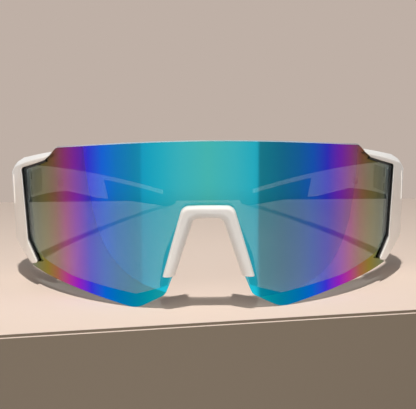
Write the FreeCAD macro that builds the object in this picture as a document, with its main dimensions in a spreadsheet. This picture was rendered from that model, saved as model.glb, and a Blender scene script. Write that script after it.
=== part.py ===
import FreeCAD, Part
import math
import os
import re
import Sketcher
from FreeCAD import Placement, Rotation, Vector

# Wraparound sport sunglasses, in millimetres and degrees.
# +X is the wearer's left, +Y runs back along the temples, +Z is up, and the glasses stand on
# the two lower lobes of the lens and the two temple tips, with the temples partly folded.
# The front is wrapped round an upright cylinder, so its pieces are bands of that cylinder.
# An inset is measured in from the widest point of the front, and a drop down from its top.
SIZES = {
    # one-piece lens
    "front_half_width": 73.0,
    "lens_edge_inset": 4.5,
    "lens_wrap": 64.33,
    "lens_thickness": 2.0,
    "lens_height": 58.5,
    "lens_corner_inset": 20.0,
    "lens_corner_drop": 5.6,
    "lens_corner_round": 2.6,
    "lens_tuck_inset": 17.1,
    "lens_tuck_drop": 9.3,
    "lower_corner_inset": 8.4,
    "lower_corner_z": 6.5,
    "lower_edge_rise": 0.4,
    "lower_edge_round": 400.0,
    "lobe_x": 25.0,
    "lobe_z": -0.4,
    "lobe_round": 8.0,
    "lobe_inner_x": 14.9,
    "lobe_inner_z": 5.2,
    "lobe_inner_round": 4.0,
    "key_height": 6.0,
    "key_depth": 1.4,
    "key_z": 22.0,
    # side frames that carry the lens and the temples
    "lip_proud": 1.6,
    "lip_behind": 1.4,
    "rim_wall": 0.9,
    "groove_clearance": 0.08,
    "arm_tip_inset": 17.7,
    "arm_tip_drop": 8.35,
    "arm_root_inset": 1.7,
    "arm_root_drop": 16.5,
    "arm_swell_inset": 8.0,
    "arm_swell_drop": 12.6,
    "arm_inner_tip_inset": 15.6,
    "arm_inner_tip_drop": 10.5,
    "side_top_drop": 19.5,
    "side_inner_inset": 5.2,
    "side_inner_drop": 15.9,
    "side_low_inset": 6.9,
    "side_low_z": 15.8,
    "chin_inset": 0.95,
    "chin_z": 12.4,
    "chin_facet": 2.0,
    "chin_tip_inset": 7.0,
    "chin_tip_z": 7.1,
    "chin_inner_tip_inset": 11.0,
    "chin_inner_tip_z": 9.1,
    "frame_corner_round": 2.4,
    "frame_inner_round": 1.6,
    "frame_tip_round": 0.8,
    "frame_edge_bevel": 0.4,
    "frame_tail": 9.5,
    "gasket_width": 0.8,
    "gasket_proud": 0.5,
    "gasket_corner_round": 0.8,
    # nose bridge and pads
    "bridge_foot_z": 12.2,
    "bridge_foot_inner_x": 11.4,
    "bridge_foot_outer_x": 15.6,
    "bridge_inner_top_x": 4.9,
    "bridge_inner_top_z": 32.1,
    "bridge_inner_crown": 0.25,
    "bridge_outer_top_x": 8.7,
    "bridge_outer_top_z": 36.6,
    "bridge_outer_crown": 0.3,
    "bridge_inner_round": 2.0,
    "bridge_outer_round": 3.2,
    "bridge_proud": 2.2,
    "bridge_behind": 1.9,
    "bridge_set": 2.75,
    "bridge_rake": 2.6,
    "bridge_wall": 0.7,
    "bridge_outer_edge_round": 1.2,
    "bridge_inner_edge_round": 2.6,
    "pad_low_x": 15.2,
    "pad_low_z": 5.5,
    "pad_mid_x": 12.5,
    "pad_mid_z": 17.0,
    "pad_high_x": 6.9,
    "pad_high_z": 32.5,
    "pad_end_width": 1.5,
    "pad_mid_width": 2.9,
    "pad_depth": 11.5,
    "pad_splay": 7.0,
    "pad_end_round": 0.6,
    "pad_bend_round": 20.0,
    "pad_edge_round": 0.5,
    # hinges
    "hinge_inset": 4.6,
    "hinge_setback": 2.0,
    "hinge_drop": 29.7,
    "knuckle_height": 2.8,
    "knuckle_radius": 1.5,
    "knuckle_gap": 0.02,
    "knuckle_room": 0.25,
    "washer_thickness": 0.2,
    "pin_radius": 0.6,
    "pin_clearance": 0.05,
    "leaf_inner": 1.2,
    "leaf_thickness": 0.8,
    "front_leaf_length": 8.0,
    "temple_leaf_length": 9.0,
    "leaf_clearance": 0.05,
    "screw_head_radius": 1.25,
    "screw_head_height": 0.7,
    "screw_slot_width": 0.35,
    "screw_slot_depth": 0.35,
    # temples, along their own axis from the hinge pin; heights run from the line that falls
    # from the middle of the hinge to the table at the tip
    "temple_rest_angle": 23.4,
    "temple_open_angle": 5.4,
    "stop_gap": 0.1,
    "temple_length": 121.0,
    "temple_step": 0.7,
    "temple_mid_inner": 0.4,
    "temple_mid_outer": 3.7,
    "temple_tip_inner": 7.1,
    "temple_tip_outer": 3.6,
    "top_front_rise": 7.0,
    "top_mid_rise": 8.33,
    "top_rear_run": 11.0,
    "top_rear_rise": 5.58,
    "tip_height": 5.6,
    "tip_round": 2.8,
    "low_front_fall": 6.6,
    "belly_run": 16.0,
    "belly_fall": 2.44,
    "waist_run": 34.0,
    "waist_fall": 0.4,
    "waist_round": 12.0,
    "grip_run": 60.0,
    "grip_fall": 1.88,
    "tail_run": 31.0,
    "tail_fall": 1.52,
    "heel_run": 7.0,
    "temple_bevel": 0.8,
    "window_run": 23.2,
    "window_length": 4.6,
    "window_height": 2.9,
    "window_rise": 2.0,
    "window_round": 0.8,
    "grip_lean": 3.6,
    "grip_top_strip": 1.9,
    "grip_depth_share": 0.5,
    "sock_run": 11.0,
    # how far a cutting shape reaches past what it cuts
    "waste": 5.0,
}

LENS_END = "(lens_wrap * 1 deg)"
LENS_RADIUS = "((front_half_width - lens_edge_inset) / sin(lens_wrap * 1 deg))"
LENS_REAR = "(%s - lens_thickness)" % LENS_RADIUS
REAR_FACE = "(%s * (1 - cos(lens_wrap * 1 deg)) + frame_tail)" % LENS_RADIUS
HINGE_X = "(front_half_width - hinge_inset)"
HINGE_LOW = "(lens_height - hinge_drop)"
KNUCKLE_STEP = "(knuckle_height + washer_thickness + 2 * knuckle_gap)"
HINGE_TOP = "(%s + 2 * %s + knuckle_height)" % (HINGE_LOW, KNUCKLE_STEP)
HINGE_MIDDLE = "((%s + %s) / 2)" % (HINGE_LOW, HINGE_TOP)
NODES = []


def cells(text):
    """Turn size names into references to the sheet."""
    return re.sub(r"[a-z_]+", lambda name: "sizes." + name.group() if name.group() in SIZES
                  else name.group(), text)


def make_sheet(document):
    sheet = document.addObject("Spreadsheet::Sheet", "sizes")
    for row, (name, size) in enumerate(SIZES.items(), 1):
        sheet.set("A%d" % row, name)
        sheet.set("B%d" % row, str(size))
        sheet.setAlias("B%d" % row, name)
    document.recompute()
    return sheet


def number(item, text):
    return float(item.evalExpression(cells(text)))


def from_side(inset):
    return "(front_half_width - %s)" % inset


def from_top(drop):
    return "(lens_height - %s)" % drop


def pin_down(sketch, piece, end, x, y):
    """Hold one point of a sketch at an expression in x and one in y."""
    for kind, text in (("DistanceX", x), ("DistanceY", y)):
        rule = Sketcher.Constraint(kind, -1, 1, piece, end, number(sketch, text))
        index = sketch.addConstraint(rule)
        sketch.setExpression("Constraints[%d]" % index, cells(text))


def set_radius(sketch, piece, radius):
    rule = sketch.addConstraint(Sketcher.Constraint("Radius", piece, number(sketch, radius)))
    sketch.setExpression("Constraints[%d]" % rule, cells(radius))


def corner(x, y, via=None, rounding=None):
    """A corner of an outline, with the arc that leads to it.

    A corner between two straight runs can have its own rounding.
    """
    return {"x": x, "y": y, "via": via, "rounding": rounding}


def on_side(side, x, y, via=None, rounding=None):
    """A corner on the wearer's left (side 1) or right (side -1)."""
    bend = None if via is None else ("%d * (%s)" % (side, via[0]), via[1])
    return corner("%d * (%s)" % (side, x), y, bend, rounding)


def draw(sketch, corners):
    """Draw a closed outline of lines and arcs through the corners."""
    ends = []
    for index, here in enumerate(corners):
        before = corners[index - 1]
        start = Vector(number(sketch, before["x"]), number(sketch, before["y"]), 0)
        finish = Vector(number(sketch, here["x"]), number(sketch, here["y"]), 0)
        if here["via"] is None:
            piece = sketch.addGeometry(Part.LineSegment(start, finish), False)
            ends.append((piece, 1, 2))
            continue
        middle = Vector(number(sketch, here["via"][0]), number(sketch, here["via"][1]), 0)
        forward = (middle - start).cross(finish - middle).z > 0
        first, last = (start, finish) if forward else (finish, start)
        piece = sketch.addGeometry(Part.Arc(first, middle, last), False)
        ends.append((piece, 1, 2) if forward else (piece, 2, 1))
        peg = sketch.addGeometry(Part.Point(middle), True)
        sketch.addConstraint(Sketcher.Constraint("PointOnObject", peg, 1, piece))
        pin_down(sketch, peg, 1, *here["via"])
    for index, here in enumerate(corners):
        piece, _, last = ends[index]
        after, first, _ = ends[(index + 1) % len(ends)]
        sketch.addConstraint(Sketcher.Constraint("Coincident", piece, last, after, first))
        pin_down(sketch, piece, last, here["x"], here["y"])
    for index, here in enumerate(corners):
        if here["rounding"] is None:
            continue
        piece, _, last = ends[index]
        sketch.fillet(piece, last, number(sketch, here["rounding"]), True, True)
        arc = max(i for i, g in enumerate(sketch.Geometry) if isinstance(g, Part.ArcOfCircle))
        set_radius(sketch, arc, here["rounding"])


def rectangle(sketch, low_x, high_x, low_y, high_y):
    draw(sketch, [corner(low_x, low_y), corner(high_x, low_y),
                  corner(high_x, high_y), corner(low_x, high_y)])


def circle(sketch, radius, centre_y="0"):
    centre = Vector(0, number(sketch, centre_y), 0)
    shape = Part.Circle(centre, Vector(0, 0, 1), number(sketch, radius))
    piece = sketch.addGeometry(shape, False)
    pin_down(sketch, piece, 3, "0", centre_y)
    set_radius(sketch, piece, radius)


def new_sketch(body, name, plane, lift=None):
    sketch = body.newObject("Sketcher::SketchObject", name)
    support = next(part for part in body.Origin.OriginFeatures if part.Role == plane)
    sketch.AttachmentSupport = [(support, "")]
    sketch.MapMode = "FlatFace"
    if lift is not None:
        sketch.setExpression("AttachmentOffset.Base.z", cells(lift))
    return sketch


def pad(body, sketch, length, side="One side"):
    feature = body.newObject("PartDesign::Pad", sketch.Name + "_pad")
    feature.Profile = sketch
    feature.SideType = side
    feature.setExpression("Length", cells(length))
    body.Document.recompute()
    return feature


def pocket(body, sketch, length=None, backwards=False):
    """Cut a sketch out of the body: right through both ways, or to a depth."""
    body.Document.recompute()
    before = body.Shape.Volume
    feature = body.newObject("PartDesign::Pocket", sketch.Name + "_pocket")
    feature.Profile = sketch
    if length is None:
        feature.SideType = "Symmetric"
        feature.Type = "ThroughAll"
    else:
        feature.Reversed = backwards
        feature.setExpression("Length", cells(length))
    body.Document.recompute()
    if body.Shape.Volume > before - 1e-6:
        raise RuntimeError(feature.Name + " removes nothing")
    return feature


def dress_edges(body, name, kind, size, edges):
    """Fillet or chamfer the edges that the caller found on the body's present shape."""
    base = body.Tip
    names = ["Edge%d" % index for index, edge in enumerate(base.Shape.Edges, 1)
             if any(edge.isSame(other) for other in edges)]
    if not names:
        raise RuntimeError(name + " finds no edge")
    feature = body.newObject("PartDesign::" + kind, name)
    feature.Base = (base, names)
    feature.setExpression("Radius" if kind == "Fillet" else "Size", cells(size))
    body.Document.recompute()
    return feature


def round_corners(body, sketch, radius, along, places):
    """Fillet the edges that run along one axis from the given corners of a sketch."""
    kept = [axis for axis in range(3) if axis != along]
    edges = []
    for x, y in places:
        spot = (number(sketch, x), number(sketch, y))
        for edge in body.Tip.Shape.Edges:
            ends = [[vertex.Point[axis] for axis in kept] for vertex in edge.Vertexes]
            if len(ends) == 2 and all(math.dist(end, spot) < 1e-4 for end in ends):
                edges.append(edge)
    return dress_edges(body, "%s_%s" % (sketch.Name, radius), "Fillet", radius, edges)


def runs_between(edge, start, finish, near):
    """Whether an edge, seen from the front, joins the neighbourhoods of two points."""
    ends = [(vertex.Point.x, vertex.Point.z) for vertex in edge.Vertexes]
    pairs = ((start, finish), (finish, start))
    return len(ends) == 2 and any(math.dist(ends[0], one) + math.dist(ends[1], other) < near
                                  for one, other in pairs)


def both_sides(x, y):
    return [(x, y), ("-(%s)" % x, y)]


def face_towards(shape, direction):
    """The face that turns the most area towards a direction."""
    def weight(face):
        low_u, high_u, low_v, high_v = face.ParameterRange
        normal = face.normalAt((low_u + high_u) / 2, (low_v + high_v) / 2)
        return face.Area * normal.dot(direction)
    return max(shape.Faces, key=weight)


def new_body(document, name):
    return document.addObject("PartDesign::Body", name)


def boolean(document, kind, name, base, tool):
    feature = document.addObject("Part::" + kind, name)
    feature.Base = base
    feature.Tool = tool
    document.recompute()
    return feature


def node(feature, name):
    feature.Label = name
    NODES.append(feature)
    return feature


def ring_point(radius, angle):
    """A point of the front's plan, at a radius and an angle from straight ahead."""
    return "(%s) * sin(%s)" % (radius, angle), "%s - (%s) * cos(%s)" % (LENS_RADIUS, radius, angle)


def band(sketch, inner, outer, start, finish):
    """Draw a ring sector of the front's plan between two radii and two angles."""
    middle = "((%s) + (%s)) / 2" % (start, finish)
    draw(sketch, [
        corner(*ring_point(outer, start)),
        corner(*ring_point(outer, finish), via=ring_point(outer, middle)),
        corner(*ring_point(inner, finish)),
        corner(*ring_point(inner, start), via=ring_point(inner, middle)),
    ])


def backwards_along(corners):
    """The same corners and arcs, followed from the last corner to the first."""
    path = []
    for index in range(len(corners) - 1, -1, -1):
        after = corners[index + 1] if index + 1 < len(corners) else None
        path.append(dict(corners[index], via=after["via"] if after else None))
    return path


def mirror_outline(half):
    """Complete a half outline, listed from the top centre to the bottom centre, at -X."""
    other = []
    for here in backwards_along(half):
        via = here["via"]
        flipped = None if via is None else ("-(%s)" % via[0], via[1])
        other.append(dict(here, x="-(%s)" % here["x"], via=flipped))
    return other


def all_round(sketch, sign="-"):
    """Draw the waste round an outline: the whole front, or only one side of it."""
    reach = "(front_half_width + 2 * waste)"
    near = "-" + reach if sign == "-" else "0"
    far = reach if sign == "-" else "%s * %s" % (sign, reach)
    rectangle(sketch, near, far, "-(lens_height + 2 * waste)", "lens_height + 2 * waste")


def make_lens(document, name, spare):
    """The shield lens; spare grows it on every side to cut its own seat."""
    body = new_body(document, name)
    plan = new_sketch(body, name + "_plan", "XY_Plane")
    end = "%s + (%s) / %s * 180 deg / pi" % (LENS_END, spare, LENS_RADIUS)
    band(plan, "%s - (%s)" % (LENS_REAR, spare), "%s + (%s)" % (LENS_RADIUS, spare),
         "-(%s)" % end, end)
    pad(body, plan, "2 * (lens_height + waste)", "Symmetric")
    face = new_sketch(body, name + "_outline", "XZ_Plane")
    all_round(face)
    under = "(rim_wall - (%s))" % spare
    beyond = "front_half_width + waste"
    top_corner = (from_side("lens_corner_inset"), from_top("lens_corner_drop"))
    notch_corner = ("bridge_inner_top_x + bridge_wall - (%s)" % spare,
                    "bridge_inner_top_z + bridge_wall - (%s)" % spare)
    lower_corner = from_side("lower_corner_inset")
    lower_middle = ("(lobe_x + %s) / 2" % lower_corner,
                    "(lobe_z + lower_corner_z) / 2 + lower_edge_rise")
    half = [
        corner(*top_corner, ("0", "lens_height")),
        corner("%s + (%s)" % (from_side("lens_tuck_inset"), spare),
               "%s + (%s)" % (from_top("lens_tuck_drop"), spare)),
        corner("%s - %s" % (from_side("arm_root_inset"), under),
               "%s - %s" % (from_top("arm_root_drop"), under),
               (from_side("arm_swell_inset"), "%s - %s" % (from_top("arm_swell_drop"), under))),
        corner(beyond, "%s - 2 * %s" % (from_top("side_top_drop"), under)),
        corner(beyond, "chin_z + 2 * %s" % under),
        corner("%s - %s" % (from_side("chin_inset"), under), "chin_z + %s" % under),
        corner("%s + (%s)" % (lower_corner, spare), "chin_tip_z + %s" % under),
        corner("%s + (%s)" % (lower_corner, spare), "lower_corner_z - (%s)" % spare),
        corner(*lower_middle, None, "lower_edge_round"),
        corner("lobe_x", "lobe_z", None, "lobe_round"),
        corner("lobe_inner_x", "lobe_inner_z", None, "lobe_inner_round"),
        corner("bridge_foot_inner_x + bridge_wall - (%s)" % spare, "bridge_foot_z"),
        corner(*notch_corner),
    ]
    left = mirror_outline(half)
    left[0]["via"] = ("0", "bridge_inner_top_z + bridge_inner_crown + bridge_wall - (%s)" % spare)
    draw(face, half + left)
    pocket(body, face)
    round_corners(body, face, "lens_corner_round", 1, both_sides(*top_corner))
    round_corners(body, face, "bridge_inner_round", 1, both_sides(*notch_corner))
    for word, side in (("left", 1), ("right", -1)):
        key = new_sketch(body, "%s_key_%s" % (name, word), "XZ_Plane")
        near = "%d * (%s - key_depth + (%s))" % (side, from_side("lens_edge_inset"), spare)
        far = "%d * (%s)" % (side, beyond)
        rectangle(key, near, far, "key_z + (%s)" % spare, "key_z + key_height - (%s)" % spare)
        pocket(body, key)
    return body


def inner_edge(inward, rounding):
    """The inner edge of the side frame, from chin to arm, moved inward by a distance."""
    return [
        ("%s - (%s)" % (from_side("side_low_inset"), inward), "side_low_z", None, rounding),
        ("%s - (%s)" % (from_side("side_inner_inset"), inward),
         "%s - (%s)" % (from_top("side_inner_drop"), inward), None, rounding),
        ("%s - (%s) / 3" % (from_side("arm_inner_tip_inset"), inward),
         "%s - (%s)" % (from_top("arm_inner_tip_drop"), inward)),
    ]


def frame_outline(side):
    """The side frame seen from the front: top arm, side bar and chin."""
    return [
        on_side(side, from_side("arm_tip_inset"), from_top("arm_tip_drop")),
        on_side(side, from_side("arm_root_inset"), from_top("arm_root_drop"),
                (from_side("arm_swell_inset"), from_top("arm_swell_drop"))),
        on_side(side, "front_half_width", from_top("side_top_drop"), None, "frame_corner_round"),
        on_side(side, from_side("chin_inset"), "chin_z"),
        on_side(side, from_side("chin_tip_inset"), "chin_tip_z"),
        on_side(side, from_side("chin_inner_tip_inset"), "chin_inner_tip_z", None,
                "frame_tip_round"),
    ] + [on_side(side, *place) for place in inner_edge("0", "frame_inner_round")]


def block(body, name, low, high, cut):
    """A rectangular pad or pocket between two corners given as expressions."""
    sketch = new_sketch(body, name, "XY_Plane", low[2])
    rectangle(sketch, low[0], high[0], low[1], high[1])
    height = "(%s) - (%s)" % (high[2], low[2])
    if cut:
        return pocket(body, sketch, height, backwards=True)
    return pad(body, sketch, height)


def make_side_frame(document, word, side, lens_room):
    body = new_body(document, "frame_blank_" + word)
    plan = new_sketch(body, "frame_plan_" + word, "XY_Plane")
    outer = "(%s + lip_proud)" % LENS_RADIUS
    inner = "(%s - lip_behind)" % LENS_REAR
    begin = "%d * asin((%s - waste) / %s)" % (side, from_side("arm_tip_inset"), outer)
    middle = "(%s + %d * %s) / 2" % (begin, side, LENS_END)
    finish = "%d * acos((%s - %s) / %s)" % (side, LENS_RADIUS, REAR_FACE, inner)
    draw(plan, [
        corner(*ring_point(inner, begin)),
        corner(*ring_point(inner, finish), via=ring_point(inner, middle)),
        on_side(side, "front_half_width + lip_proud", REAR_FACE),
        corner(*ring_point(outer, begin), via=ring_point(outer, middle)),
    ])
    pad(body, plan, "lens_height")
    face = new_sketch(body, "frame_outline_" + word, "XZ_Plane")
    all_round(face, "%d" % side)
    draw(face, frame_outline(side))
    pocket(body, face)
    chin = (side * number(face, from_side("chin_tip_inset")), number(face, "chin_tip_z"))
    bar = (side * number(face, from_side("chin_inset")), number(face, "chin_z"))
    near = number(face, "4 * frame_edge_bevel")
    for name, kept in (("frame_edge_bevel", False), ("chin_facet", True)):
        front = face_towards(body.Tip.Shape, Vector(side, -1, 0))
        edges = [edge for edge in front.Edges if runs_between(edge, chin, bar, near) == kept]
        dress_edges(body, "%s_%s" % (name, word), "Chamfer", name, edges)
    leaf_face = "(%s - leaf_inner)" % HINGE_X
    leaf_front = "%s + hinge_setback - front_leaf_length - leaf_clearance" % REAR_FACE
    block(body, "boss_" + word,
          ("%d * %s" % (side, leaf_face), "%s - rim_wall" % leaf_front,
           "%s - leaf_clearance - rim_wall" % HINGE_LOW),
          ("%d * (front_half_width - rim_wall)" % side, REAR_FACE,
           "%s + leaf_clearance + rim_wall" % HINGE_TOP), False)
    block(body, "leaf_seat_" + word,
          ("%d * (%s - waste)" % (side, leaf_face), leaf_front, HINGE_LOW + " - leaf_clearance"),
          ("%d * (%s + leaf_thickness + leaf_clearance)" % (side, leaf_face),
           REAR_FACE + " + waste", HINGE_TOP + " + leaf_clearance"), True)
    return node(boolean(document, "Cut", "side_frame_" + word, body, lens_room),
                "side_frame_" + word)


def make_gasket(document, word, side):
    body = new_body(document, "lens_gasket_" + word)
    plan = new_sketch(body, "gasket_plan_" + word, "XY_Plane")
    outer = "(%s + gasket_proud)" % LENS_RADIUS
    begin = "%d * asin((%s - waste) / %s)" % (side, from_side("arm_tip_inset"), outer)
    band(plan, LENS_RADIUS + " + groove_clearance", outer, begin, "%d * %s" % (side, LENS_END))
    pad(body, plan, "lens_height")
    face = new_sketch(body, "gasket_outline_" + word, "XZ_Plane")
    all_round(face, "%d" % side)
    tip = (from_side("chin_inner_tip_inset"), "chin_inner_tip_z")
    outside = [on_side(side, *tip)]
    outside += [on_side(side, *place) for place in inner_edge("0", "frame_inner_round")]
    inside = [on_side(side, tip[0] + " - gasket_width / 2", tip[1] + " + gasket_width")]
    inside += [on_side(side, *place)
               for place in inner_edge("gasket_width", "gasket_corner_round")]
    draw(face, outside + backwards_along(inside))
    pocket(body, face)
    return node(body, "lens_gasket_" + word)


def bridge_outline(part):
    """One edge of the nose bridge, from the wearer's left foot over the crown."""
    foot_x = "bridge_foot_%s_x" % part
    top_x = "bridge_%s_top_x" % part
    top_z = "bridge_%s_top_z" % part
    return [
        corner(foot_x, "bridge_foot_z"),
        corner(top_x, top_z),
        corner("-" + top_x, top_z, ("0", "%s + bridge_%s_crown" % (top_z, part))),
        corner("-" + foot_x, "bridge_foot_z"),
    ]


def crown_corners(shape, front, height, slack):
    """The edges that run straight back from the front face at about a height."""
    found = []
    for edge in shape.Edges:
        ends = [vertex.Point for vertex in edge.Vertexes]
        if len(ends) != 2 or abs(ends[0].y - ends[1].y) < slack:
            continue
        at_front = any(vertex.isSame(other) for vertex in edge.Vertexes
                       for other in front.Vertexes)
        if at_front and abs((ends[0].z + ends[1].z) / 2 - height) < slack:
            found.append(edge)
    return found


def beyond_middle(sketch, edge, slack):
    """How far outside the middle line of the bridge an edge lies; nothing for the feet."""
    spot = edge.valueAt(edge.getParameterByLength(edge.Length / 2))
    foot_x = number(sketch, "(bridge_foot_inner_x + bridge_foot_outer_x) / 2")
    top_x = number(sketch, "(bridge_inner_top_x + bridge_outer_top_x) / 2")
    foot_z = number(sketch, "bridge_foot_z")
    top_z = number(sketch, "(bridge_inner_top_z + bridge_outer_top_z) / 2")
    if spot.z < foot_z + slack:
        return 0
    leg_x = foot_x + (top_x - foot_x) * (spot.z - foot_z) / (top_z - foot_z)
    return max(abs(spot.x) - leg_x, spot.z - top_z)


def make_bridge_blank(document):
    """The bridge before its groove: a flat U, raked back at the feet, with a round front."""
    body = new_body(document, "bridge_blank")
    face = new_sketch(body, "bridge_outline", "XZ_Plane")
    rake = Rotation(Vector(1, 0, 0), number(face, "bridge_rake"))
    face.AttachmentOffset = Placement(Vector(0, 0, -number(face, "bridge_set")), rake)
    draw(face, bridge_outline("outer") + backwards_along(bridge_outline("inner")))
    feature = pad(body, face, "lens_thickness / 2 + bridge_proud", "Two sides")
    feature.setExpression("Length2", cells("lens_thickness / 2 + bridge_behind"))
    document.recompute()
    slack = number(face, "bridge_wall")
    for part in ("outer", "inner"):
        front = face_towards(body.Tip.Shape, Vector(0, -1, 0))
        height = number(face, "bridge_%s_top_z" % part)
        dress_edges(body, "bridge_%s_corners" % part, "Fillet", "bridge_%s_round" % part,
                    crown_corners(body.Tip.Shape, front, height, slack))
    for part, sign in (("outer", 1), ("inner", -1)):
        front = face_towards(body.Tip.Shape, Vector(0, -1, 0))
        edges = [edge for edge in front.Edges if sign * beyond_middle(face, edge, slack) > 0]
        dress_edges(body, "bridge_%s_edge" % part, "Fillet", "bridge_%s_edge_round" % part, edges)
    return body


def make_nose_pad(document, word, side, bridge):
    """A crescent of rubber behind one leg of the bridge, splayed back to meet the nose."""
    body = new_body(document, "pad_blank_" + word)
    face = new_sketch(body, "pad_outline_" + word, "XZ_Plane")
    outline = []
    for sign in ("+", "-"):
        end = "%s pad_end_width / 2" % sign
        edge = [
            on_side(side, "pad_low_x " + end, "pad_low_z", None, "pad_end_round"),
            on_side(side, "pad_mid_x %s pad_mid_width / 2" % sign, "pad_mid_z", None,
                    "pad_bend_round"),
            on_side(side, "pad_high_x " + end, "pad_high_z", None, "pad_end_round"),
        ]
        outline += edge if sign == "+" else edge[::-1]
    draw(face, outline)
    feature = pad(body, face, "pad_depth")
    feature.UseCustomVector = True
    feature.setExpression("Direction.x", cells("%d * sin(pad_splay * 1 deg)" % side))
    feature.setExpression("Direction.y", cells("cos(pad_splay * 1 deg)"))
    document.recompute()
    back = face_towards(body.Tip.Shape, Vector(0, 1, 0))
    dress_edges(body, "pad_edge_" + word, "Fillet", "pad_edge_round", back.Edges)
    plan = new_sketch(body, "pad_trim_" + word, "XY_Plane")
    all_round(plan)
    circle(plan, LENS_REAR + " - groove_clearance", LENS_RADIUS)
    pocket(body, plan)
    return node(boolean(document, "Cut", "nose_pad_" + word, body, bridge), "nose_pad_" + word)


def hinge_eye(side, length, way):
    """Plan of a hinge leaf: the eye round the pin and the plate beside it."""
    meet_inner = "sqrt(knuckle_radius^2 - leaf_inner^2)"
    outer = "(leaf_inner - leaf_thickness)"
    meet_outer = "sqrt(knuckle_radius^2 - %s^2)" % outer
    return [
        corner("%d * -leaf_inner" % side, "%d * (%s)" % (way, length)),
        corner("%d * -leaf_inner" % side, "%d * %s" % (way, meet_inner)),
        corner("%d * -%s" % (side, outer), "%d * %s" % (way, meet_outer),
               ("0", "%d * -knuckle_radius" % way)),
        corner("%d * -%s" % (side, outer), "%d * (%s)" % (way, length)),
    ]


def knuckle_space(body, name, low, high):
    """Clear a height of the leaf for a knuckle of the other leaf to turn in."""
    room = "(knuckle_radius + knuckle_room)"
    return block(body, name, ("-" + room, "-" + room, low), (room, room, high), True)


def make_front_leaf(document, word, side):
    body = new_body(document, "hinge_front_leaf_" + word)
    plan = new_sketch(body, "front_leaf_plan_" + word, "XY_Plane", HINGE_LOW)
    draw(plan, hinge_eye(side, "front_leaf_length", -1))
    pad(body, plan, "%s - %s" % (HINGE_TOP, HINGE_LOW))
    low = HINGE_LOW + " + knuckle_height"
    knuckle_space(body, "middle_space_" + word, low,
                  "%s + %s + washer_thickness + 2 * knuckle_gap" % (low, KNUCKLE_STEP))
    bore = new_sketch(body, "front_bore_" + word, "XY_Plane")
    circle(bore, "pin_radius + pin_clearance")
    pocket(body, bore)
    return node(body, "hinge_front_leaf_" + word)


def make_temple_leaf(document, word, side):
    body = new_body(document, "hinge_temple_leaf_" + word)
    plan = new_sketch(body, "temple_leaf_plan_" + word, "XY_Plane", HINGE_LOW)
    draw(plan, hinge_eye(side, "temple_leaf_length", 1))
    pad(body, plan, "%s - %s" % (HINGE_TOP, HINGE_LOW))
    low = "%s + %s" % (HINGE_LOW, KNUCKLE_STEP)
    knuckle_space(body, "low_space_" + word, HINGE_LOW + " - waste", low)
    knuckle_space(body, "high_space_" + word, low + " + knuckle_height", HINGE_TOP + " + waste")
    bore = new_sketch(body, "temple_bore_" + word, "XY_Plane")
    circle(bore, "pin_radius + pin_clearance")
    pocket(body, bore)
    return node(body, "hinge_temple_leaf_" + word)


def make_washers(document, word):
    """Two friction washers, one each side of the middle knuckle."""
    body = new_body(document, "hinge_washers_" + word)
    low = HINGE_LOW + " + knuckle_height + knuckle_gap"
    high = "%s + 2 * %s - washer_thickness - knuckle_gap" % (HINGE_LOW, KNUCKLE_STEP)
    for level, lift in (("low", low), ("high", high)):
        sketch = new_sketch(body, "washer_%s_%s" % (level, word), "XY_Plane", lift)
        circle(sketch, "knuckle_radius")
        circle(sketch, "pin_radius + pin_clearance")
        pad(body, sketch, "washer_thickness")
    return node(body, "hinge_washers_" + word)


def make_screw(document, word):
    body = new_body(document, "hinge_screw_" + word)
    profile = new_sketch(body, "screw_profile_" + word, "XZ_Plane")
    head = HINGE_TOP + " + knuckle_gap"
    draw(profile, [
        corner("0", HINGE_LOW),
        corner("pin_radius", HINGE_LOW),
        corner("pin_radius", head),
        corner("screw_head_radius", head),
        corner("screw_head_radius", head + " + screw_head_height / 2"),
        corner("screw_head_radius - screw_head_height / 2", head + " + screw_head_height"),
        corner("0", head + " + screw_head_height"),
    ])
    turn = body.newObject("PartDesign::Revolution", "screw_turn_" + word)
    turn.Profile = profile
    turn.ReferenceAxis = (profile, ["V_Axis"])
    turn.Angle = 360
    document.recompute()
    block(body, "screw_slot_" + word,
          ("-2 * screw_head_radius", "-screw_slot_width / 2",
           head + " + screw_head_height - screw_slot_depth"),
          ("2 * screw_head_radius", "screw_slot_width / 2", head + " + waste"), True)
    return node(body, "hinge_screw_" + word)


def height_at(run, offset):
    """A height above or below the line that falls from the hinge to the tip."""
    return "%s * (1 - (%s) / temple_length) + (%s)" % (HINGE_MIDDLE, run, offset)


def before_tip(run):
    return "(temple_length - %s)" % run


def top_edge(strip):
    """The upper edge of the temple from tip to hinge, lowered by a strip."""
    rear = before_tip("top_rear_run")
    return [
        corner("temple_length + waste", height_at("temple_length", "tip_height - (%s)" % strip)),
        corner(rear, height_at(rear, "top_rear_rise - (%s)" % strip)),
        corner("-waste", height_at("-waste", "top_front_rise - (%s)" % strip),
               ("temple_length / 2",
                height_at("temple_length / 2", "top_mid_rise - (%s)" % strip))),
    ]


def temple_profile():
    """The temple from the side."""
    grip = before_tip("grip_run")
    tail = before_tip("tail_run")
    upper = top_edge("0")
    upper[0] = corner("temple_length", "tip_height", None, "tip_round")
    return [
        corner("-waste", height_at("-waste", "-low_front_fall")),
        corner("waist_run", height_at("waist_run", "-waist_fall"),
               ("belly_run", height_at("belly_run", "-belly_fall"))),
        corner(grip, height_at(grip, "-grip_fall")),
        corner(before_tip("heel_run"), "0", (tail, height_at(tail, "-tail_fall"))),
        corner("temple_length", "0", None, "tip_round"),
    ] + upper


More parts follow.
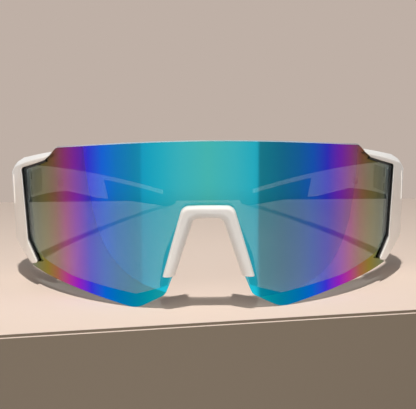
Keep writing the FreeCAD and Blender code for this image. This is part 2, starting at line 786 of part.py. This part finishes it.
def temple_plan(side):
    """The temple from above, bowed inwards, with its stop face and the room for the eye."""
    notch = "knuckle_radius + knuckle_room"
    slope = "tan(temple_open_angle * 1 deg)"
    stop = "-(hinge_setback - stop_gap) / cos(temple_open_angle * 1 deg)"
    front = "(hinge_inset - temple_step)"
    return [
        on_side(side, front, "%s - %s * %s" % (stop, front, slope)),
        on_side(side, "-temple_tip_outer", "temple_length + waste",
                ("temple_mid_outer", "temple_length / 2")),
        on_side(side, "-temple_tip_inner", "temple_length + waste"),
        on_side(side, "-leaf_inner", notch, ("temple_mid_inner", "temple_length / 2")),
        on_side(side, notch, notch),
        on_side(side, notch, "%s - (%s) * %s" % (stop, notch, slope)),
    ]


def shared(inner, outer):
    """A place part of the way through the temple, from its inner to its outer face."""
    return "(%s) * (1 - grip_depth_share) + (%s) * grip_depth_share" % (inner, outer)


def make_temple(document, word, side):
    """The temple moulding and the rubber grip that fills the recess in its rear half."""
    blank = new_body(document, "temple_blank_" + word)
    outline = new_sketch(blank, "temple_side_" + word, "YZ_Plane")
    draw(outline, temple_profile())
    pad(blank, outline, "temple_length", "Symmetric")
    waist = ("waist_run", height_at("waist_run", "-waist_fall"))
    round_corners(blank, outline, "waist_round", 0, [waist])
    round_corners(blank, outline, "tip_round", 0, [(before_tip("heel_run"), "0")])
    plan = new_sketch(blank, "temple_plan_" + word, "XY_Plane")
    rectangle(plan, "-temple_length", "temple_length", "-temple_length", "2 * temple_length")
    draw(plan, temple_plan(side))
    pocket(blank, plan)
    face = face_towards(blank.Tip.Shape, Vector(side, 0, 0))
    dress_edges(blank, "temple_bevel_" + word, "Chamfer", "temple_bevel", face.Edges)
    window = new_sketch(blank, "temple_window_" + word, "YZ_Plane")
    runs = ("window_run", "window_run + window_length")
    draw(window, [corner(run, height_at(run, "window_rise %s window_height / 2" % sign), None,
                         "window_round")
                  for run, sign in zip(runs + runs[::-1], "--++")])
    pocket(blank, window)
    block(blank, "temple_leaf_seat_" + word,
          ("%d * -waste" % side, "0", HINGE_LOW + " - leaf_clearance"),
          ("%d * -(leaf_inner - leaf_thickness - leaf_clearance)" % side,
           "temple_leaf_length + leaf_clearance", HINGE_TOP + " + leaf_clearance"), True)

    tool = new_body(document, "grip_room_" + word)
    side_view = new_sketch(tool, "grip_side_" + word, "YZ_Plane")
    draw(side_view, [corner("-waste", "-waste"), corner("temple_length + waste", "-waste")]
         + top_edge("grip_top_strip"))
    pad(tool, side_view, "temple_length", "Symmetric")
    front = new_sketch(tool, "grip_front_" + word, "YZ_Plane")
    grip = before_tip("grip_run")
    draw(front, [
        corner("-2 * waste", "-2 * waste"),
        corner("%s + grip_lean" % grip, "-2 * waste"),
        corner("%s + grip_lean" % grip, height_at(grip, "-grip_fall")),
        corner(grip, height_at(grip, "top_mid_rise")),
        corner(grip, "lens_height"),
        corner("-2 * waste", "lens_height"),
    ])
    pocket(tool, front)
    half_plan = new_sketch(tool, "grip_plan_" + word, "XY_Plane")
    draw(half_plan, [
        on_side(side, shared("-leaf_inner", "hinge_inset - temple_step"), "0"),
        on_side(side, shared("-temple_tip_inner", "-temple_tip_outer"), "temple_length + 2 * waste",
                (shared("temple_mid_inner", "temple_mid_outer"), "temple_length / 2")),
        on_side(side, "temple_length", "temple_length + 2 * waste"),
        on_side(side, "temple_length", "0"),
    ])
    pocket(tool, half_plan)
    sock = new_sketch(tool, "sock_side_" + word, "YZ_Plane")
    rectangle(sock, before_tip("sock_run"), "temple_length + waste", "-waste", HINGE_LOW)
    pad(tool, sock, "temple_length", "Symmetric")
    temple = node(boolean(document, "Cut", "temple_" + word, blank, tool), "temple_" + word)
    grip_piece = document.addObject("Part::MultiCommon", "temple_grip_" + word)
    grip_piece.Shapes = [blank, tool]
    document.recompute()
    return temple, node(grip_piece, "temple_grip_" + word)


def place(sheet, feature, side, turn):
    """Stand a piece at its hinge, turned in to the rest angle or square to the front."""
    spot = Vector(side * number(sheet, HINGE_X), number(sheet, REAR_FACE + " + hinge_setback"), 0)
    feature.Placement = Placement(spot, Rotation(Vector(0, 0, 1), side * turn))


def build():
    document = FreeCAD.newDocument("sunglasses")
    sheet = make_sheet(document)
    node(make_lens(document, "shield_lens", "0"), "shield_lens")
    lens_room = make_lens(document, "lens_room", "groove_clearance")
    bridge_blank = make_bridge_blank(document)
    node(boolean(document, "Cut", "nose_bridge", bridge_blank, lens_room), "nose_bridge")
    rest = number(sheet, "temple_rest_angle")
    for word, side in (("left", 1), ("right", -1)):
        make_nose_pad(document, word, side, bridge_blank)
        make_side_frame(document, word, side, lens_room)
        make_gasket(document, word, side)
        for feature in (make_front_leaf(document, word, side), make_washers(document, word),
                        make_screw(document, word)):
            place(sheet, feature, side, 0)
        place(sheet, make_temple_leaf(document, word, side), side, rest)
        for feature in make_temple(document, word, side):
            place(sheet, feature, side, rest)
    document.recompute()
    return document


def settle(document):
    """Move the whole assembly so the origin is the middle of its footprint."""
    box = FreeCAD.BoundBox()
    for feature in NODES:
        box.add(feature.Shape.optimalBoundingBox(False, False))
    shift = Vector(0, -(box.YMin + box.YMax) / 2, -box.ZMin)
    for feature in NODES:
        feature.Placement.Base += shift
    document.recompute()


def check(document):
    for item in document.Objects:
        bad = [state for state in item.State if state in ("Invalid", "Error")]
        if bad:
            raise RuntimeError("%s is %s" % (item.Name, bad))
    for feature in NODES:
        if feature.Shape.isNull() or not feature.Shape.isValid() or not feature.Shape.Solids:
            raise RuntimeError(feature.Label + " has no sound shape")


def main():
    document = build()
    settle(document)
    check(document)
    os.makedirs("parts", exist_ok=True)
    for feature in NODES:
        feature.Shape.exportStep("parts/%s.step" % feature.Label)


main()
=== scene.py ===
import math

import bmesh
import bpy
from mathutils import Matrix, Vector


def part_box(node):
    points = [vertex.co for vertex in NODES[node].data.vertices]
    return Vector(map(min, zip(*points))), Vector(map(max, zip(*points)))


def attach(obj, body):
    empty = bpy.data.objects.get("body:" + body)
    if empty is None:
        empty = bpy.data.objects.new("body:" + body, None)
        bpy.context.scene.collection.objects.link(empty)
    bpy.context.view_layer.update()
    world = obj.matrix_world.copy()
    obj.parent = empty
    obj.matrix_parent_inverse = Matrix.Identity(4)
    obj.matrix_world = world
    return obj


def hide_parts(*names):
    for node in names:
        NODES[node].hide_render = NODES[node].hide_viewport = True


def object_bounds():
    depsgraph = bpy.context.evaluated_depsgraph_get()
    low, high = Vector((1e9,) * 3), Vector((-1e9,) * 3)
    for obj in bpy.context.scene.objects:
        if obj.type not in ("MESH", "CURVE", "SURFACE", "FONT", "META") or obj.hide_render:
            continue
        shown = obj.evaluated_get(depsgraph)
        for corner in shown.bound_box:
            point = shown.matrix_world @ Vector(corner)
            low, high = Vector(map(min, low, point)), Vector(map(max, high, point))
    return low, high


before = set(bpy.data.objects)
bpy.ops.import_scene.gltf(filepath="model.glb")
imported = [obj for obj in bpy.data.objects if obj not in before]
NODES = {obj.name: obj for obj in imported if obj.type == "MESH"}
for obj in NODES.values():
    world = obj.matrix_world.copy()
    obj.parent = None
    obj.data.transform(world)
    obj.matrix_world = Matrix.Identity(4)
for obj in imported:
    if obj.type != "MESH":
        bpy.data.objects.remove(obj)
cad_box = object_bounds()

MM = 0.001
LOW, HIGH = cad_box
HALF_WIDTH = HIGH.x / MM
SIDES = ("left", "right")

# Corners closer than this are one, and faces that turn less than this are one flat face.
SAME_POINT = 0.002 * MM
SAME_FACE = math.radians(0.8)


def srgb(red, green, blue):
    """A display colour, 0 to 255, as the linear colour that shaders use."""
    def linear(value):
        value = value / 255
        return value / 12.92 if value <= 0.04045 else ((value + 0.055) / 1.055) ** 2.4
    return (linear(red), linear(green), linear(blue), 1)


def grey(value):
    """A plain number in the form that the stops of a ramp take."""
    return (value, value, value, 1)


# ---------------------------------------------------------------- node trees

class Nodes:
    """A node tree under construction, of a material or of the world."""

    def __init__(self, tree):
        self.tree = tree

    def node(self, kind, **settings):
        made = self.tree.nodes.new("ShaderNode" + kind)
        for name, value in settings.items():
            setattr(made, name, value)
        return made

    def feed(self, socket, value):
        """Give a socket a fixed value, or join another node's output to it."""
        if isinstance(value, bpy.types.NodeSocket):
            self.tree.links.new(value, socket)
        else:
            socket.default_value = value

    def axes(self, kind):
        """The three numbers of a place or direction."""
        made = self.node("SeparateXYZ")
        self.feed(made.inputs["Vector"], self.node("TexCoord").outputs[kind])
        return made.outputs

    def math(self, operation, *values):
        made = self.node("Math", operation=operation)
        for socket, value in zip(made.inputs, values):
            self.feed(socket, value)
        return made.outputs["Value"]

    def rescale(self, value, old=(0, 1), new=(0, 1)):
        """A number moved from one range to another, and kept inside it."""
        made = self.node("MapRange")
        for name, limit in zip(("From Min", "From Max", "To Min", "To Max"), (*old, *new)):
            made.inputs[name].default_value = limit
        self.feed(made.inputs["Value"], value)
        return made.outputs["Result"]

    def ramp(self, factor, stops):
        """A colour or a grey that changes from stop to stop as the factor runs from 0 to 1."""
        made = self.node("ValToRGB")
        elements = made.color_ramp.elements
        while len(elements) < len(stops):
            elements.new(0.5)
        for element, (position, colour) in zip(elements, stops):
            element.position = position
            element.color = colour
        self.feed(made.inputs["Fac"], factor)
        return made.outputs["Color"]

    def mix(self, factor, first, second):
        made = self.node("MixShader")
        for socket, value in zip(made.inputs, (factor, first, second)):
            self.feed(socket, value)
        return made.outputs["Shader"]


class Recipe(Nodes):
    """A material under construction, on the Principled shader that it starts with."""

    def __init__(self, name, **sockets):
        self.material = bpy.data.materials.new(name)
        self.material.use_nodes = True
        super().__init__(self.material.node_tree)
        self.shader = self.tree.nodes["Principled BSDF"]
        for socket, value in sockets.items():
            self.set(socket.replace("_", " "), value)

    def set(self, socket, value):
        self.feed(self.shader.inputs[socket], value)

    def noise(self, scale, detail=3, stretch=(1, 1, 1)):
        """Cloudy noise over the piece, stretched along an axis whose number is below 1."""
        place = self.node("Mapping")
        place.inputs["Scale"].default_value = stretch
        self.feed(place.inputs["Vector"], self.node("TexCoord").outputs["Object"])
        made = self.node("TexNoise")
        self.feed(made.inputs["Vector"], place.outputs["Vector"])
        self.feed(made.inputs["Scale"], scale)
        self.feed(made.inputs["Detail"], detail)
        return made.outputs["Fac"]

    def bump(self, height, depth, strength):
        made = self.node("Bump")
        self.feed(made.inputs["Height"], height)
        self.feed(made.inputs["Distance"], depth)
        self.feed(made.inputs["Strength"], strength)
        self.set("Normal", made.outputs["Normal"])


# ---------------------------------------------------------------- materials of the frame

def white_plastic():
    """Injection-moulded nylon with a satin gloss: faint cloudiness and a fine skin texture."""
    recipe = Recipe("white_plastic", Coat_Weight=0.5, Coat_Roughness=0.16)
    tones = [(0.3, srgb(249, 244, 237)), (0.7, srgb(254, 250, 245))]
    recipe.set("Base Color", recipe.ramp(recipe.noise(60), tones))
    recipe.set("Roughness", recipe.rescale(recipe.noise(900, 4), new=(0.24, 0.38)))
    recipe.bump(recipe.noise(2600, 4), 0.01 * MM, 0.35)
    return recipe.material


def black_rubber(name, tone):
    """Soft elastomer: nearly black, matt, with a fine grain and paler scuffs."""
    recipe = Recipe(name)
    scuffed = tone + 14
    tones = [(0.35, srgb(tone, tone, tone + 2)), (0.75, srgb(scuffed, scuffed, scuffed + 2))]
    recipe.set("Base Color", recipe.ramp(recipe.noise(220, 5), tones))
    recipe.set("Roughness", recipe.rescale(recipe.noise(700), new=(0.5, 0.72)))
    recipe.bump(recipe.noise(3500), 0.03 * MM, 0.5)
    return recipe.material


def steel(name, colour, roughness):
    """Brushed stainless steel, scratched along the hinge axis."""
    recipe = Recipe(name, Metallic=1.0, Base_Color=colour)
    grain = recipe.noise(4000, stretch=(1, 1, 0.06))
    recipe.set("Roughness", recipe.rescale(grain, new=roughness))
    recipe.bump(grain, 0.008 * MM, 0.4)
    return recipe.material


def nylon():
    """Natural nylon of the friction washers."""
    recipe = Recipe("washer_nylon")
    tones = [(0.3, srgb(214, 208, 196)), (0.7, srgb(228, 223, 212))]
    recipe.set("Base Color", recipe.ramp(recipe.noise(500), tones))
    recipe.set("Roughness", recipe.rescale(recipe.noise(1500), new=(0.4, 0.55)))
    return recipe.material


# ---------------------------------------------------------------- materials of the lens

# Colours of the mirror coating from the middle of the lens to its end, by |x| in millimetres.
COATING = (
    (0, srgb(67, 184, 180)),
    (9, srgb(54, 180, 190)),
    (15, srgb(30, 174, 194)),
    (20, srgb(6, 164, 194)),
    (25, srgb(2, 146, 194)),
    (31, srgb(0, 130, 214)),
    (36, srgb(6, 112, 246)),
    (41, srgb(60, 58, 255)),
    (46, srgb(154, 36, 228)),
    (50, srgb(186, 64, 170)),
    (54, srgb(168, 112, 88)),
    (58, srgb(144, 136, 44)),
    (62, srgb(118, 130, 78)),
    (66, srgb(100, 124, 124)),
)

# Colours of the cut edge by |x| in millimetres: a painted highlight, pale in the middle where the
# edge catches the light, fading to dark at the ends.
CUT_EDGE_PAINTED_HIGHLIGHT = (
    (0, srgb(176, 222, 222)),
    (32.8, srgb(160, 200, 232)),
    (45.2, srgb(160, 140, 190)),
    (52.5, srgb(70, 52, 48)),
)

# How much of the outer face is mirror and not window, by |x| in millimetres.
MIRROR_SHARE = ((0, 0.68), (43.8, 0.68), (55.5, 0.56), (73, 0.42))

# Painted shadow: the top of the band along the lower edge of the lens that is made all mirror, as
# if the lens's own shadow lay behind it there: |x| and z in millimetres.
SHADOW_BAND_TOP = ((0, 14), (18, 7.4), (25, 5.1), (48, 8.0), (58, 10.9), (66, 14))
SHADOW_BAND_BLUR = 0.3 * MM


def by_width(recipe, stops):
    """A colour or grey that changes with |x|, alike on both halves."""
    size = recipe.math("ABSOLUTE", recipe.axes("Object")["X"])
    share = recipe.rescale(size, old=(0, HIGH.x))
    return recipe.ramp(share, [(min(x / HALF_WIDTH, 1), colour) for x, colour in stops])


def painted_shadow_band(recipe):
    """1 in the painted shadow band along the lower edge, where the lens is made all mirror as if
    its own shadow lay behind it, and 0 above it.
    """
    stops = [(x, grey(z * MM / HIGH.z)) for x, z in SHADOW_BAND_TOP]
    top = recipe.math("MULTIPLY", by_width(recipe, stops), HIGH.z)
    depth = recipe.math("SUBTRACT", top, recipe.axes("Object")["Z"])
    return recipe.rescale(depth, old=(-SHADOW_BAND_BLUR, SHADOW_BAND_BLUR))


def mirror_coating():
    """The outer face: a coloured mirror that lets a little of the view through, and none in the
    painted shadow band along its lower edge.
    """
    recipe = Recipe("mirror_coating", Metallic=1.0, Roughness=0.04)
    recipe.set("Base Color", by_width(recipe, COATING))
    share = by_width(recipe, [(x, grey(part)) for x, part in MIRROR_SHARE])
    # painted shadow: along the lower edge the face is all mirror, so nothing pale shows through
    # it
    mirrored = recipe.math("MAXIMUM", share, painted_shadow_band(recipe))
    clear = recipe.node("BsdfTransparent")
    clear.inputs["Color"].default_value = (0.8, 0.95, 1.0, 1)
    face = recipe.mix(mirrored, clear.outputs["BSDF"], recipe.shader.outputs["BSDF"])
    recipe.feed(recipe.tree.nodes["Material Output"].inputs["Surface"], face)
    return recipe.material


def tinted_inside():
    """The inner face: a smooth smoky tint."""
    recipe = Recipe("lens_inside", Alpha=0.5, Roughness=0.05,
                    Coat_Weight=0.5, Coat_Roughness=0.03)
    tones = [(0.3, srgb(44, 40, 42)), (0.7, srgb(50, 46, 48))]
    recipe.set("Base Color", recipe.ramp(recipe.noise(40), tones))
    return recipe.material


def lens_edge():
    """The cut edge of the lens, with a painted highlight that is pale in the middle and fades to
    dark at the ends.
    """
    recipe = Recipe("lens_edge", Alpha=0.8, Roughness=0.12,
                    Coat_Weight=0.5, Coat_Roughness=0.05)
    # painted highlight along the cut edge: pale in the middle, dark at the ends
    recipe.set("Base Color", by_width(recipe, CUT_EDGE_PAINTED_HIGHLIGHT))
    return recipe.material


# ---------------------------------------------------------------- pieces

def soften(item, rounding):
    """Round a CAD piece's sharp edges for the light to catch, and shade it smooth."""
    weld = item.modifiers.new("weld", "WELD")
    weld.merge_threshold = SAME_POINT
    flat = item.modifiers.new("flat", "DECIMATE")
    flat.decimate_type = "DISSOLVE"
    flat.angle_limit = SAME_FACE
    bevel = item.modifiers.new("bevel", "BEVEL")
    bevel.width = rounding * MM
    bevel.segments = 3
    bevel.limit_method = "ANGLE"
    bevel.angle_limit = math.radians(28)
    for face in item.data.polygons:
        face.use_smooth = True
    weighted = item.modifiers.new("normals", "WEIGHTED_NORMAL")
    weighted.keep_sharp = False
    weighted.weight = 80


def dress(name, material, rounding=None):
    """Give a CAD piece its material and, in millimetres, the rounding of its edges."""
    item = NODES[name]
    item.data.materials.clear()
    item.data.materials.append(material)
    if rounding:
        soften(item, rounding)


def round_lens_rim(work):
    """Join the lens's flat facets and round the edges of its two faces."""
    bmesh.ops.remove_doubles(work, verts=work.verts, dist=SAME_POINT)
    bmesh.ops.dissolve_limit(work, angle_limit=SAME_FACE, verts=work.verts, edges=work.edges)
    rim = [line for line in work.edges if line.calc_face_angle(0) > math.radians(35)]
    bmesh.ops.bevel(work, geom=rim, offset=0.3 * MM, segments=3, affect="EDGES",
                    clamp_overlap=True)


def sort_lens_faces(work):
    """Mark each face as outer (0), inner (1) or cut edge (2), by how it turns from the axis."""
    low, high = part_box("shield_lens")
    depth = high.y - low.y
    axis_y = low.y + (high.x ** 2 + depth ** 2) / (2 * depth)
    for face in work.faces:
        face.smooth = True
        centre = face.calc_center_median()
        out = Vector((centre.x, centre.y - axis_y, 0)).normalized()
        turn = face.normal.dot(out)
        face.material_index = 0 if turn > 0.6 else 1 if turn < -0.6 else 2


def make_lens():
    """The shield with its rim rounded, a coated outer face and a tinted inner face."""
    mesh = NODES["shield_lens"].data.copy()
    mesh.name = "lens_shield"
    item = bpy.data.objects.new("lens_shield", mesh)
    bpy.context.scene.collection.objects.link(item)
    work = bmesh.new()
    work.from_mesh(mesh)
    round_lens_rim(work)
    sort_lens_faces(work)
    mesh.materials.clear()
    for material in (mirror_coating(), tinted_inside(), lens_edge()):
        mesh.materials.append(material)
    work.to_mesh(mesh)
    work.free()
    weighted = item.modifiers.new("normals", "WEIGHTED_NORMAL")
    weighted.weight = 90
    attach(item, "front")
    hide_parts("shield_lens")


def dress_frame():
    """Everything but the lens keeps its CAD shape."""
    white = white_plastic()
    grip = black_rubber("grip_rubber", 34)
    seal = black_rubber("seal_rubber", 22)
    pad = black_rubber("pad_rubber", 40)
    leaf = steel("hinge_steel", srgb(196, 194, 190), (0.22, 0.4))
    screw = steel("screw_steel", srgb(206, 204, 200), (0.15, 0.3))
    washer = nylon()
    dress("nose_bridge", white, 0.3)
    for side in SIDES:
        dress("side_frame_" + side, white, 0.35)
        dress("temple_" + side, white, 0.6)
        dress("temple_grip_" + side, grip, 0.2)
        dress("nose_pad_" + side, pad, 0.4)
        dress("lens_gasket_" + side, seal)
        dress("hinge_front_leaf_" + side, leaf, 0.08)
        dress("hinge_temple_leaf_" + side, leaf, 0.08)
        dress("hinge_screw_" + side, screw, 0.05)
        dress("hinge_washers_" + side, washer)


# ---------------------------------------------------------------- stage

def make_table():
    """A pale table top whose edge runs just ahead of the glasses, and whose front face is painted
    dark as shade.
    """
    half_width, depth, rounding = 0.45, 0.25, 1 * MM
    back, front_left, front_right = HIGH.y + 6 * MM, -0.168, -0.022
    work = bmesh.new()
    bmesh.ops.create_cube(work, size=1)
    for corner in work.verts:
        left, front, top = corner.co.x < 0, corner.co.y < 0, corner.co.z > 0
        edge = front_left if left else front_right
        corner.co = (-half_width if left else half_width, edge if front else back,
                     0 if top else -depth)
    bmesh.ops.bevel(work, geom=list(work.edges), offset=rounding, segments=4, affect="EDGES")
    work.normal_update()
    for face in work.faces:
        looks_up = face.normal.z > 0.05
        face.material_index = 0 if looks_up else 1
        face.smooth = True
    mesh = bpy.data.meshes.new("table_top")
    work.to_mesh(mesh)
    work.free()
    table = bpy.data.objects.new("table_top", mesh)
    bpy.context.scene.collection.objects.link(table)
    # the front face gets a darker copy of the table colour: painted shade
    for name, colour in (("pale_table", srgb(226, 207, 193)), ("table_front_painted_shade", srgb(110, 98, 84))):
        mesh.materials.append(Recipe(name, Roughness=0.6, Base_Color=colour).material)


# The room that glossy surfaces show: its strength by azimuth and by elevation, in degrees.
# It is bright in the middle, dim towards +X and dimmer in a strip below the horizon.
ROOM_BY_AZIMUTH = ((-75, 0.78), (-58, 1.04), (-38, 1.08), (-36.8, 1.35), (28, 1.35), (29.2, 0.62))
ROOM_BY_ELEVATION = ((-17.2, 0.95), (-16.5, 0.78), (-13.2, 0.78), (-12.2, 1.0))


def by_angle(room, angle, reach, stops):
    """A strength that changes with an angle, which runs from -reach to reach in degrees."""
    limit = math.radians(reach)
    share = room.rescale(angle, old=(-limit, limit))
    return room.ramp(share, [((at + reach) / (2 * reach), grey(part)) for at, part in stops])


def background(room, colour, strength):
    made = room.node("Background")
    room.feed(made.inputs["Color"], colour)
    room.feed(made.inputs["Strength"], strength)
    return made.outputs["Background"]


def make_world():
    """A plain wall to the eye, drawn dim as painted shade where it is seen through the lens;
    soft white light all round; and a room for the mirror to show."""
    world = bpy.data.worlds.new("room")
    bpy.context.scene.world = world
    world.use_nodes = True
    world.node_tree.nodes.clear()
    room = Nodes(world.node_tree)
    path = room.node("LightPath").outputs
    way = room.axes("Generated")
    azimuth = room.math("ARCTAN2", way["X"], room.math("MULTIPLY", way["Y"], -1))
    elevation = room.math("ARCSINE", way["Z"])
    strength = room.math("MULTIPLY", by_angle(room, azimuth, 180, ROOM_BY_AZIMUTH),
                         by_angle(room, elevation, 40, ROOM_BY_ELEVATION))
    light = background(room, (1.0, 0.98, 0.96, 1), 0.06)
    mirrored = background(room, (1, 1, 1, 1), strength)
    wall = background(room, srgb(191, 176, 166), 1.0)
    # painted shade: the wall is drawn dim where it is seen through the lens
    painted_dim_wall = background(room, srgb(60, 56, 54), 1.0)
    behind_lens = room.math("GREATER_THAN", path["Transparent Depth"], 0.5)
    seen = room.mix(behind_lens, wall, painted_dim_wall)
    lit = room.mix(path["Is Glossy Ray"], light, mirrored)
    room.feed(room.node("OutputWorld").inputs["Surface"],
              room.mix(path["Is Camera Ray"], lit, seen))


def make_lamp(name, size, level, azimuth, elevation, shown=False, reach=0.8):
    """A square softbox that looks at the middle of the glasses and lights them to a level,
    whatever its reach. An azimuth turns from the camera's side towards +X."""
    aim = Vector((0, -0.02, 0.02))
    turn, lift = math.radians(azimuth), math.radians(elevation)
    away = Vector((math.sin(turn) * math.cos(lift), -math.cos(turn) * math.cos(lift),
                   math.sin(lift)))
    lamp = bpy.data.lights.new(name, "AREA")
    lamp.size = size
    lamp.energy = level * math.pi ** 2 * reach ** 2
    lamp.color = (1.0, 0.975, 0.95)
    item = bpy.data.objects.new(name, lamp)
    item.location = aim + away * reach
    item.rotation_euler = (-away).to_track_quat("-Z", "Y").to_euler()
    item.visible_glossy = shown
    bpy.context.scene.collection.objects.link(item)


def make_lamps():
    make_lamp("key", 0.06, 0.93, -3, 76, reach=2.0)
    make_lamp("front", 0.5, 0.05, 0, 40, shown=True)
    make_lamp("low", 0.2, 0.26, 0, -4)
    make_lamp("left_side", 0.4, 0.1, 62, 4)
    make_lamp("right_side", 0.4, 0.1, -62, 4)
    make_lamp("back", 0.3, 0.3, 180, -4)


def make_camera():
    """Ahead of the glasses, a little above them, turned down and rolled by half a degree."""
    ahead, height = 0.398, 0.1294
    down, roll = math.radians(13), -0.0095
    camera = bpy.data.cameras.new("camera")
    camera.sensor_width = 36
    camera.lens = 106.2
    camera.clip_start = 0.01
    item = bpy.data.objects.new("camera", camera)
    bpy.context.scene.collection.objects.link(item)
    item.matrix_world = (Matrix.Translation((0, LOW.y - ahead, height))
                         @ Matrix.Rotation(math.pi / 2 - down, 4, "X")
                         @ Matrix.Rotation(roll, 4, "Z"))
    bpy.context.scene.camera = item


make_lens()
dress_frame()
make_table()
make_world()
make_lamps()
make_camera()
bpy.context.scene.view_settings.view_transform = "Standard"
